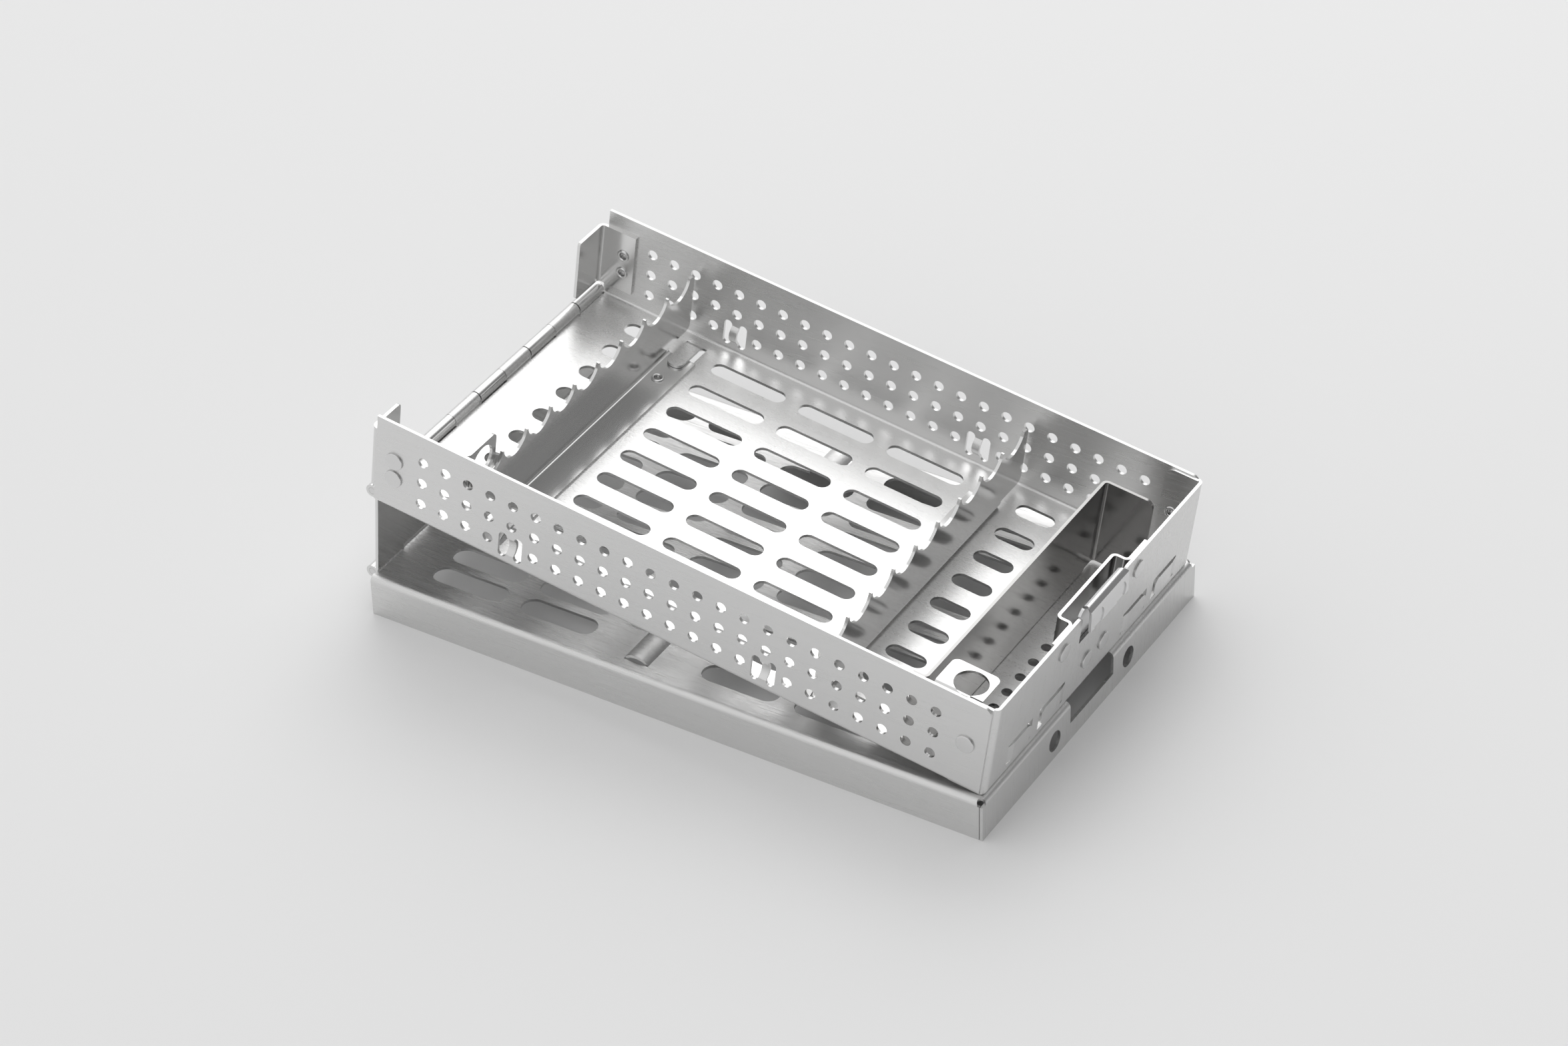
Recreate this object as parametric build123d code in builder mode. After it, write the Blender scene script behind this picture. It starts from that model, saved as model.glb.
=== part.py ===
from build123d import *
import os
from math import asin, atan2, cos, degrees, hypot, radians, sin

os.makedirs("parts", exist_ok=True)

# Dental instrument cassette of folded, perforated stainless sheet.
# A tray, a spine and a lid are chained by two knuckle hinges. The part is modelled as it lies
# open: the lid is upside down on the table, the spine stands up from the lid's hinge, and the
# tray's far end rests on the lid's panel.
# World frame: +Z up, +X from the hinges to the latch end, +Y from the near wall to the far wall.
# Tray frame: X and Y from the tray hinge's axis at mid-width, Z from the tray's underside.
# Spine frame: origin on the lid hinge's axis, +Z along the spine to the tray hinge.
# Lid frame: X and Y from the lid hinge's axis, Z from the table, the panel on top.

# ---- sheet and bends
sheet = 0.9
bend_radius = 1.8

# ---- tray
tray_reach = 199.7
tray_width = 119.4
tray_height = 31.2
wall_setback = 1.5
end_setback = 1.5
tab_length = 11.5
tab_drop = 0.4
tab_corner = 3.0
wall_corner = 2.5

# ---- wall perforation
hole_diameter = 3.3
hole_pitch = 7.5
hole_columns = 23
hole_rows = 3
first_column_x = 17.2
first_row_z = 7.1
bridge_columns = (4, 15)
bridge_slot_width = 2.7
bridge_slot_height = 8.6
bridge_strip = 2.4
bridge_depth = 1.5

# ---- floor slots
slot_width = 5.5
long_slot = 25.0
short_slot = 12.4
slot_row_pitch = 12.25
slot_rows = 9
long_slot_pitch = 30.0
long_slot_columns = 3
slot_centre_x = 88.6
short_slot_offset = 66.6
bin_hole_diameter = 3.2
bin_hole_x = 184.8
bin_hole_count = 12
bin_hole_centre_y = -8.9

# ---- hinges
pin_radius = 1.05
pin_clearance = 0.05
knuckle_count = 9
knuckle_pitch = 13.0
knuckle_gap = 0.3
knuckle_shift = 0.15
knuckle_clearance = 0.35
spine_length = 29.6
spine_lean = 4.8
rest_gap = 0.1

# ---- lid
lid_side_clearance = 1.0
lid_end_clearance = 0.5
lid_top_clearance = 0.2
lid_height = 13.2
lid_slot_width = 7.3
lid_slot_length = 24.7
lid_slot_pitch = 30.0
lid_slot_columns = 6
lid_slot_row_pitch = 10.0
lid_slot_rows = 11
lid_slot_margin = 16.0
lid_seam = 0.2
lid_relief_radius = 1.2
window_width = 24.9
window_panel_depth = 7.0
window_strip = 5.8
lid_hole_radius = 3.2
hump_column = 2
hump_width = 7.6
hump_rise = 1.9
hump_length = 13.0
hump_lip = 0.6
hump_slit = 0.3

# ---- corner brackets at the hinge end
bracket_leg = 12.5
bracket_reach = 13.0
bracket_bottom = 5.0
bracket_height = 20.8
bracket_overhang = 0.95
bracket_corner = 1.0
bracket_rivet_x = 7.8
bracket_rivet_heights = (11.6, 17.9)

# ---- rivets
head_radius = 2.75
head_thickness = 0.6
shank_radius = 1.6
shank_clearance = 0.05
tail_radius = 1.95
tail_height = 0.5
rivet_bore = 1.05
flush_head_radius = 2.4
flush_head_thickness = 0.4
tab_rivet_x = 192.0
tab_rivet_z = 16.0

# ---- instrument racks
rack_spacing = 111.6
rack_centre_x = 88.5
rack_plate_length = 114.6
rack_foot_length = 92.0
rack_foot_width = 9.4
rack_top = 23.25
rack_corner_bottom = 3.4
rack_lower_corner = 2.0
rack_upper_corner = 1.5
scallop_radius = 5.9
scallop_rise = 0.75
rack_rivet_y = 33.6
rack_rivet_offset = 4.1
clamp_width = 5.2
clamp_offset = 4.7
clamp_root_y = 54.5
clamp_tip_y = 40.5
clamp_slit = 0.9
clamp_clearance = 0.1

# ---- bin partition
partition_x = 177.2
partition_back_y = 42.0
partition_end_x = 192.7
partition_gap = 0.4
partition_height = 29.6
partition_flange = 4.0
partition_corner = 2.5
floor_corner_relief = 1.1
standing_corner_relief = 6.2

# ---- ring lugs
ring_hole_radius = 4.875
ring_corner = 2.0
side_ring_x = 30.3
side_ring_reach = 14.1
side_ring_bottom = 17.5
side_ring_top = 30.9
side_ring_hole_y = 7.5
side_ring_hole_z = 24.7
side_ring_flange = 4.5
top_ring_start_x = 179.7
top_ring_end_x = 194.2
top_ring_reach = 11.7
top_ring_hole_x = 188.2
top_ring_hole_y = 5.5
top_ring_flange_end_x = 187.6
top_ring_flange_drop = 7.0
tab_clearance = 0.2

# ---- latch
notch_width = 24.0
notch_sill = 21.2
notch_corner = 2.0
latch_sheet = 0.8
latch_gap = 0.1
latch_foot_bottom = 4.0
latch_foot_width = 18.0
latch_foot_corner = 1.0
latch_flex_z = 14.0
latch_flex_gap = 0.1
latch_shoulder_width = 24.4
latch_widening_z = 20.0
latch_shoulder_z = 28.5
latch_fold_z = 32.2
latch_ridge_z = 33.0
latch_ridge_reach = 1.3
latch_crease_reach = 2.7
latch_lip_reach = 3.35
latch_lip_z = 25.8
latch_fold_radius = 0.7
latch_head_width = 21.6
latch_ridge_width = 19.6
latch_dimple_radius = 3.0
latch_dimple_depth = 0.3
latch_dimple_spacing = 12.8
latch_dimple_z = 28.1
latch_rivet_spacing = 9.6
latch_rivet_z = 10.4

# ---- latch guard
guard_width = 33.0
guard_flange = 10.0
guard_standoff = 5.4
guard_bottom = 15.6
guard_top = 31.1
guard_rivet_y = 21.3
guard_rivet_z = 25.0

# ---- label tongues on the end wall
label_tongue_width = 6.0
label_tongue_z = 7.2
label_tongue_inner_root = 16.8
label_tongue_inner_tip = 30.8
label_tongue_outer_tip = 34.8
label_tongue_outer_root = 48.2
label_tongue_lift = 0.4
label_tongue_bend = 2.7
label_slit = 0.8

# ---- values worked out from the sizes above
knuckle_radius = pin_radius + pin_clearance + sheet
bore_radius = pin_radius + pin_clearance
knuckle_length = knuckle_pitch - knuckle_gap
hinge_length = knuckle_count * knuckle_pitch - knuckle_gap
notch_reach = knuckle_radius + knuckle_clearance
notch_length = knuckle_pitch + knuckle_gap
tray_axis_z = knuckle_radius
half_width = tray_width / 2
inner_half = half_width - sheet
end_inner_x = tray_reach - sheet
wall_end_x = tray_reach - end_setback
floor_top = sheet
bend_inner = bend_radius - sheet
fold_radius = bend_radius - sheet / 2
lid_reach = tray_reach + lid_end_clearance + sheet
lid_half = half_width + lid_side_clearance + sheet
lid_inner_half = lid_half - sheet
lid_inner_x = lid_reach - sheet
closed_panel_top = tray_height + lid_top_clearance + sheet
lid_axis_drop = closed_panel_top - (tray_axis_z + spine_length)
lid_axis_z = lid_height - lid_axis_drop
panel_bottom = lid_height - sheet
tab_start_x = end_inner_x - tab_length + sheet
grip = 2 * sheet
rack_foot_top = floor_top + sheet
rack_inner_half = rack_spacing / 2

# every second knuckle belongs to the spine, and the ones between to the tray and the lid, which
# sit a little to one side, so that the joints are open and tight by turns
knuckle_y = [(k - (knuckle_count - 1) / 2) * knuckle_pitch for k in range(knuckle_count)]
spine_knuckles = knuckle_y[0::2]
spine_notches = knuckle_y[1::2]
leaf_knuckles = [y - knuckle_shift for y in spine_notches]
leaf_notches = [y - knuckle_shift for y in spine_knuckles]

# the tray's far bend rests on the lid's panel: one equation for the tray's tilt
tray_axis_height = spine_length * cos(radians(spine_lean)) - lid_axis_drop
contact_x = tray_reach - bend_radius
contact_z = bend_radius - tray_axis_z
contact_height = tray_axis_height - bend_radius - rest_gap
tray_tilt = asin(contact_height / hypot(contact_x, contact_z)) + atan2(contact_z, contact_x)
tray_tilt_degrees = degrees(tray_tilt)

hinge_a_x = spine_length * sin(radians(spine_lean))
hinge_a_z = lid_axis_z + spine_length * cos(radians(spine_lean))
spine_place = Location((0, 0, lid_axis_z), (0, spine_lean, 0))
tray_place = Location((hinge_a_x, 0, hinge_a_z), (0, tray_tilt_degrees, 0)) * Location((0, 0, -tray_axis_z))

tray_pieces = {}
lid_pieces = {}
spine_pieces = {}


def near_wall(x, z):
    # a plane on the near wall's outer face that looks out of the tray
    return Plane(origin=(x, -half_width, z), x_dir=(1, 0, 0), z_dir=(0, -1, 0))


def far_wall(x, z):
    # a plane on the far wall's outer face that looks out of the tray
    return Plane(origin=(x, half_width, z), x_dir=(-1, 0, 0), z_dir=(0, 1, 0))


def end_wall(y, z):
    # a plane on the end wall's outer face that looks out of the tray
    return Plane(origin=(tray_reach, y, z), x_dir=(0, 1, 0), z_dir=(1, 0, 0))


# ---- rivets: a raised head outside, a hollow flared tail inside, the head's seat at z = 0
with BuildPart() as raised_rivet:
    Cylinder(head_radius, head_thickness, align=(Align.CENTER, Align.CENTER, Align.MIN))
    chamfer(raised_rivet.edges().group_by(Axis.Z)[-1], 0.2)
    Cylinder(shank_radius, grip + tail_height, align=(Align.CENTER, Align.CENTER, Align.MAX))
    with BuildSketch(Plane.XY.offset(-grip)):
        Circle(tail_radius)
    extrude(amount=-tail_height)
    with BuildSketch(Plane.XY.offset(-grip - tail_height)):
        Circle(rivet_bore)
    extrude(amount=grip, mode=Mode.SUBTRACT)

# the rack rivets are flush underneath, so that nothing stands below the floor
with BuildPart() as flush_rivet:
    Cylinder(flush_head_radius, flush_head_thickness, align=(Align.CENTER, Align.CENTER, Align.MIN))
    Cylinder(shank_radius, grip + tail_height, align=(Align.CENTER, Align.CENTER, Align.MIN))
    with BuildSketch(Plane.XY.offset(grip)):
        Circle(tail_radius)
    extrude(amount=tail_height)
    Cylinder(rivet_bore, 3 * grip, mode=Mode.SUBTRACT)

bracket_rivet_places = {
    "near": [near_wall(bracket_rivet_x, z) for z in bracket_rivet_heights],
    "far": [far_wall(bracket_rivet_x, z) for z in bracket_rivet_heights],
}
tab_rivet_places = [near_wall(tab_rivet_x, tab_rivet_z), far_wall(tab_rivet_x, tab_rivet_z)]
guard_rivet_places = [end_wall(y, guard_rivet_z) for y in (-guard_rivet_y, guard_rivet_y)]
latch_rivet_places = [end_wall(y, latch_rivet_z) for y in (-latch_rivet_spacing / 2, latch_rivet_spacing / 2)]
wall_rivet_places = bracket_rivet_places["near"] + bracket_rivet_places["far"] + tab_rivet_places
raised_rivet_places = wall_rivet_places + guard_rivet_places + latch_rivet_places

rack_rivet_places = {}
rack_rivet_x = rack_inner_half - rack_rivet_offset
for rack_name, side in (("left", -1), ("right", 1)):
    rack_rivet_places[rack_name] = [
        Plane((rack_centre_x + side * rack_rivet_x, y, 0)) for y in (-rack_rivet_y, rack_rivet_y)
    ]

# ---- end of the tray: an end wall with a tab folded in along each long wall
with BuildPart() as end_hollow:
    with BuildSketch(Plane.XY.offset(floor_top)) as end_hollow_plan:
        with Locations((end_inner_x, 0)):
            Rectangle(tab_length, 2 * (inner_half - sheet), align=(Align.MAX, Align.CENTER))
        fillet(end_hollow_plan.vertices().group_by(Axis.X)[-1], bend_inner)
    extrude(amount=tray_height)
    with BuildSketch(Plane.XZ.offset(-tray_width)) as end_hollow_side:
        with Locations((end_inner_x, floor_top)):
            Rectangle(tab_length, tray_height, align=(Align.MAX, Align.MIN))
        fillet(end_hollow_side.vertices().group_by(Axis.Y)[0].sort_by(Axis.X)[-1], bend_inner)
    extrude(amount=2 * tray_width, mode=Mode.INTERSECT)

with BuildPart() as end_cup:
    with BuildSketch(Plane.XY) as end_plan:
        with Locations((tab_start_x, 0)):
            Rectangle(tray_reach - tab_start_x, 2 * inner_half, align=(Align.MIN, Align.CENTER))
        fillet(end_plan.vertices().group_by(Axis.X)[-1], bend_radius)
    extrude(amount=tray_height)
    with BuildSketch(Plane.XZ.offset(-tray_width)) as end_side:
        with Locations((tab_start_x, 0)):
            Rectangle(tray_reach - tab_start_x, tray_height, align=(Align.MIN, Align.MIN))
        fillet(end_side.vertices().group_by(Axis.Y)[0].sort_by(Axis.X)[-1], bend_radius)
    extrude(amount=2 * tray_width, mode=Mode.INTERSECT)
    add(end_hollow.part, mode=Mode.SUBTRACT)
    # the tabs stop a little under the rim and have a rounded free corner
    with BuildSketch(Plane.XZ.offset(-tray_width)):
        with Locations((tab_start_x, tray_height)):
            Rectangle(wall_end_x - tab_start_x, tab_drop, align=(Align.MIN, Align.MAX))
        with Locations((tab_start_x, tray_height - tab_drop)):
            Rectangle(tab_corner, tab_corner, align=(Align.MIN, Align.MAX))
        with Locations((tab_start_x + tab_corner, tray_height - tab_drop - tab_corner)):
            Circle(tab_corner, mode=Mode.SUBTRACT)
    extrude(amount=2 * tray_width, mode=Mode.SUBTRACT)

# ---- tray shell: floor, two long walls, the end wall, and the hinge knuckles
bridge_x = [first_column_x + column * hole_pitch for column in bridge_columns]
wall_holes = [
    (first_column_x + column * hole_pitch, first_row_z + row * hole_pitch)
    for column in range(hole_columns)
    for row in range(hole_rows)
    if row > 0 or column not in bridge_columns
]
slot_row_y = [(row - (slot_rows - 1) / 2) * slot_row_pitch for row in range(slot_rows)]
long_slot_x = [
    slot_centre_x + (column - (long_slot_columns - 1) / 2) * long_slot_pitch
    for column in range(long_slot_columns)
]
bridge_slot_offset = (bridge_strip + bridge_slot_width) / 2
clamp_x = {
    "left": rack_centre_x - rack_inner_half + clamp_offset,
    "right": rack_centre_x + rack_inner_half - clamp_offset,
}
clamp_bottom = rack_foot_top + clamp_clearance
clamp_ramp = 2 * (clamp_bottom - floor_top) + sheet

with BuildPart() as tray_shell:
    with BuildSketch(Plane.YZ.offset(wall_setback)) as channel:
        Rectangle(tray_width, tray_height, align=(Align.CENTER, Align.MIN))
        with Locations((0, floor_top)):
            Rectangle(2 * inner_half, tray_height, align=(Align.CENTER, Align.MIN), mode=Mode.SUBTRACT)
        fillet(channel.vertices().group_by(Axis.Y)[0], bend_radius)
        inner_corners = channel.vertices().filter_by_position(Axis.Y, floor_top - 0.01, floor_top + 0.01)
        fillet(inner_corners, bend_inner)
    extrude(amount=wall_end_x - wall_setback)
    # the far upper corner of each long wall is rounded
    with BuildSketch(Plane.XZ.offset(-tray_width)):
        with Locations((wall_end_x, tray_height)):
            Rectangle(wall_corner, wall_corner, align=(Align.MAX, Align.MAX))
        with Locations((wall_end_x - wall_corner, tray_height - wall_corner)):
            Circle(wall_corner, mode=Mode.SUBTRACT)
    extrude(amount=2 * tray_width, mode=Mode.SUBTRACT)
    add(end_cup.part)
    # round holes in both long walls
    with BuildSketch(Plane.XZ.offset(-tray_width)):
        with Locations(*wall_holes):
            Circle(hole_diameter / 2)
    extrude(amount=2 * tray_width, mode=Mode.SUBTRACT)
    # lanced bridges: two upright slots, and the strip between them bowed inward
    with BuildSketch(Plane.XZ.offset(-tray_width)):
        for x in bridge_x:
            with Locations((x - bridge_slot_offset, first_row_z), (x + bridge_slot_offset, first_row_z)):
                SlotOverall(bridge_slot_height, bridge_slot_width, rotation=90)
            with Locations((x, first_row_z)):
                Rectangle(bridge_strip + 0.1, bridge_slot_height - bridge_slot_width)
    extrude(amount=2 * tray_width, mode=Mode.SUBTRACT)
    bow_half = (bridge_slot_height - bridge_slot_width) / 2
    bow_top = first_row_z + bow_half
    bow_bottom = first_row_z - bow_half
    for side in (-1, 1):
        for x in bridge_x:
            with BuildSketch(Plane.YZ.offset(x - bridge_strip / 2)):
                with BuildLine():
                    outer_bow = ThreePointArc(
                        (side * half_width, bow_bottom),
                        (side * (half_width - bridge_depth), first_row_z),
                        (side * half_width, bow_top),
                    )
                    inner_bow = ThreePointArc(
                        (side * inner_half, bow_bottom),
                        (side * (inner_half - bridge_depth), first_row_z),
                        (side * inner_half, bow_top),
                    )
                    Line(outer_bow @ 0, inner_bow @ 0)
                    Line(outer_bow @ 1, inner_bow @ 1)
                make_face()
            extrude(amount=bridge_strip)
    # floor slots, short ones under the racks' outer sides, and one row of holes in the bin
    with BuildSketch(Plane.XY):
        with Locations(*[(x, y) for x in long_slot_x for y in slot_row_y]):
            SlotOverall(long_slot, slot_width)
        with Locations(*[(slot_centre_x + s * short_slot_offset, y) for s in (-1, 1) for y in slot_row_y]):
            SlotOverall(short_slot, slot_width)
        with Locations((bin_hole_x, bin_hole_centre_y)):
            with GridLocations(1, hole_pitch, 1, bin_hole_count):
                Circle(bin_hole_diameter / 2)
    extrude(amount=floor_top, mode=Mode.SUBTRACT)
    # rack clamps: tongues lanced up from the floor, over the ends of the racks' feet
    with BuildSketch(Plane.XY):
        for x in clamp_x.values():
            for side in (-1, 1):
                with Locations((x, side * (clamp_tip_y + clamp_root_y) / 2)):
                    Rectangle(clamp_width + 2 * clamp_slit, clamp_root_y - clamp_tip_y)
    extrude(amount=floor_top, mode=Mode.SUBTRACT)
    for x in clamp_x.values():
        for side in (-1, 1):
            with BuildSketch(Plane.YZ.offset(x - clamp_width / 2)):
                with BuildLine():
                    Polyline(
                        (side * (clamp_root_y + 0.5), 0),
                        (side * clamp_root_y, 0),
                        (side * (clamp_root_y - clamp_ramp), clamp_bottom),
                        (side * clamp_tip_y, clamp_bottom),
                        (side * clamp_tip_y, clamp_bottom + sheet),
                        (side * (clamp_root_y - clamp_ramp), clamp_bottom + sheet),
                        (side * clamp_root_y, floor_top),
                        (side * (clamp_root_y + 0.5), floor_top),
                        close=True,
                    )
                make_face()
            extrude(amount=clamp_width)
    clamp_corners = tray_shell.edges().filter_by(Axis.Z).filter_by_position(
        Axis.Z, clamp_bottom, clamp_bottom + sheet
    )
    fillet(clamp_corners, clamp_width / 2 - 0.4)
    # the latch's notch in the end wall
    with BuildSketch(end_wall(0, notch_sill)):
        Rectangle(notch_width, tray_height, align=(Align.CENTER, Align.MIN))
    extrude(amount=-2 * sheet, mode=Mode.SUBTRACT)
    rim_edges = tray_shell.edges().filter_by(Axis.X).group_by(Axis.Z)[-1]
    fillet(rim_edges.filter_by_position(Axis.Y, -notch_width, notch_width), notch_corner)
    # label tongues: two facing pairs on the end wall, sprung outward at their tips
    for side in (-1, 1):
        for root, tip in (
            (label_tongue_inner_root, label_tongue_inner_tip),
            (label_tongue_outer_root, label_tongue_outer_tip),
        ):
            way = 1 if tip > root else -1
            with BuildSketch(end_wall(side * (root + tip) / 2, label_tongue_z)):
                Rectangle(abs(root - tip), label_tongue_width + 2 * label_slit)
            extrude(amount=-2 * sheet, mode=Mode.SUBTRACT)
            bend_y = root + way * label_tongue_bend
            with BuildSketch(Plane.XY.offset(label_tongue_z - label_tongue_width / 2)):
                with BuildLine():
                    Polyline(
                        (end_inner_x, side * (root - way * 0.5)),
                        (end_inner_x, side * root),
                        (end_inner_x + label_tongue_lift, side * bend_y),
                        (end_inner_x + label_tongue_lift, side * (tip - way * label_slit)),
                        (tray_reach + label_tongue_lift, side * (tip - way * label_slit)),
                        (tray_reach + label_tongue_lift, side * bend_y),
                        (tray_reach, side * root),
                        (tray_reach, side * (root - way * 0.5)),
                        close=True,
                    )
                make_face()
            extrude(amount=label_tongue_width)
    tongue_tips = tray_shell.edges().filter_by(Axis.X).filter_by_position(
        Axis.X, tray_reach + label_tongue_lift / 2 - sheet / 2, tray_reach + label_tongue_lift
    )
    fillet(tongue_tips, label_tongue_width / 2 - 0.6)
    # rivet holes
    for place in raised_rivet_places:
        with BuildSketch(place):
            Circle(shank_radius + shank_clearance)
        extrude(amount=-3 * sheet, mode=Mode.SUBTRACT)
    for places in rack_rivet_places.values():
        for place in places:
            with BuildSketch(place):
                Circle(flush_head_radius + shank_clearance)
            extrude(amount=flush_head_thickness, mode=Mode.SUBTRACT)
            with BuildSketch(place):
                Circle(shank_radius + shank_clearance)
            extrude(amount=sheet, mode=Mode.SUBTRACT)
    # hinge edge: the floor runs on to the knuckles and is notched round the spine's
    with BuildSketch(Plane.XY):
        Rectangle(wall_setback + 0.5, hinge_length, align=(Align.MIN, Align.CENTER))
    extrude(amount=floor_top)
    with BuildSketch(Plane.XY):
        with Locations(*[(notch_reach, y) for y in leaf_notches]):
            Rectangle(2 * notch_reach, notch_length, align=(Align.MAX, Align.CENTER))
    extrude(amount=bend_radius, mode=Mode.SUBTRACT)
    with Locations(*[(0, y, tray_axis_z) for y in leaf_knuckles]):
        Cylinder(knuckle_radius, knuckle_length, rotation=(90, 0, 0))
    with Locations((0, 0, tray_axis_z)):
        Cylinder(bore_radius, hinge_length + 2, rotation=(90, 0, 0), mode=Mode.SUBTRACT)
tray_pieces["tray_shell"] = tray_shell.part

# ---- hinge pins
with BuildPart() as tray_hinge_pin:
    with Locations((0, 0, tray_axis_z)):
        Cylinder(pin_radius, hinge_length, rotation=(90, 0, 0))
tray_pieces["tray_hinge_pin"] = tray_hinge_pin.part

with BuildPart() as lid_hinge_pin:
    with Locations((0, 0, lid_axis_z)):
        Cylinder(pin_radius, hinge_length, rotation=(90, 0, 0))
lid_pieces["lid_hinge_pin"] = lid_hinge_pin.part

# ---- spine: a flat strip with a row of knuckles along both edges
with BuildPart() as spine_plate:
    with BuildSketch(Plane.YZ.offset(bore_radius)):
        Rectangle(hinge_length, spine_length, align=(Align.CENTER, Align.MIN))
        with Locations(*[(y, 0) for y in spine_notches]):
            Rectangle(notch_length, notch_reach, align=(Align.CENTER, Align.MIN), mode=Mode.SUBTRACT)
        with Locations(*[(y, spine_length) for y in spine_notches]):
            Rectangle(notch_length, notch_reach, align=(Align.CENTER, Align.MAX), mode=Mode.SUBTRACT)
    extrude(amount=sheet)
    with Locations(*[(0, y, z) for y in spine_knuckles for z in (0, spine_length)]):
        Cylinder(knuckle_radius, knuckle_length, rotation=(90, 0, 0))
    with Locations((0, 0, 0), (0, 0, spine_length)):
        Cylinder(bore_radius, hinge_length + 2, rotation=(90, 0, 0), mode=Mode.SUBTRACT)
spine_pieces["spine_plate"] = spine_plate.part

# ---- lid: a slotted panel with three short walls, butted at the latch end's corners
with BuildPart() as lid_hollow:
    with BuildSketch(Plane.YZ) as lid_hollow_end:
        Rectangle(2 * lid_inner_half, panel_bottom, align=(Align.CENTER, Align.MIN))
        fillet(lid_hollow_end.vertices().group_by(Axis.Y)[-1], bend_inner)
    extrude(amount=lid_inner_x)
    with BuildSketch(Plane.XZ.offset(-lid_half)) as lid_hollow_side:
        Rectangle(lid_inner_x, panel_bottom, align=(Align.MIN, Align.MIN))
        fillet(lid_hollow_side.vertices().group_by(Axis.Y)[-1].sort_by(Axis.X)[-1], bend_inner)
    extrude(amount=2 * lid_half, mode=Mode.INTERSECT)

hump_x = lid_slot_margin + hump_column * lid_slot_pitch + lid_slot_length / 2
hump_y = (lid_slot_rows - 1) / 2 * lid_slot_row_pitch
lid_slot_x = [
    lid_slot_margin + column * lid_slot_pitch + lid_slot_length / 2 for column in range(lid_slot_columns)
]
lid_slot_y = [(row - (lid_slot_rows - 1) / 2) * lid_slot_row_pitch for row in range(lid_slot_rows)]
lid_slots = [(x, y) for x in lid_slot_x for y in lid_slot_y if x != hump_x or abs(y) != hump_y]
lid_hole_z = lid_height - (closed_panel_top - guard_rivet_z)

# a strip lanced up from the panel: rooted at the latch side, its other edge stands free
with BuildPart() as lid_hump:
    with BuildSketch(Plane.XZ.offset(-hump_length / 2)):
        with BuildLine():
            hump_outside = ThreePointArc(
                (hump_x - hump_width / 2, lid_height + hump_lip),
                (hump_x, lid_height + hump_rise),
                (hump_x + hump_width / 2, lid_height),
            )
            hump_inside = ThreePointArc(
                (hump_x - hump_width / 2, panel_bottom + hump_lip),
                (hump_x, panel_bottom + hump_rise),
                (hump_x + hump_width / 2, panel_bottom),
            )
            Line(hump_outside @ 0, hump_inside @ 0)
            Line(hump_outside @ 1, hump_inside @ 1)
        make_face()
    extrude(amount=hump_length)

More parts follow.
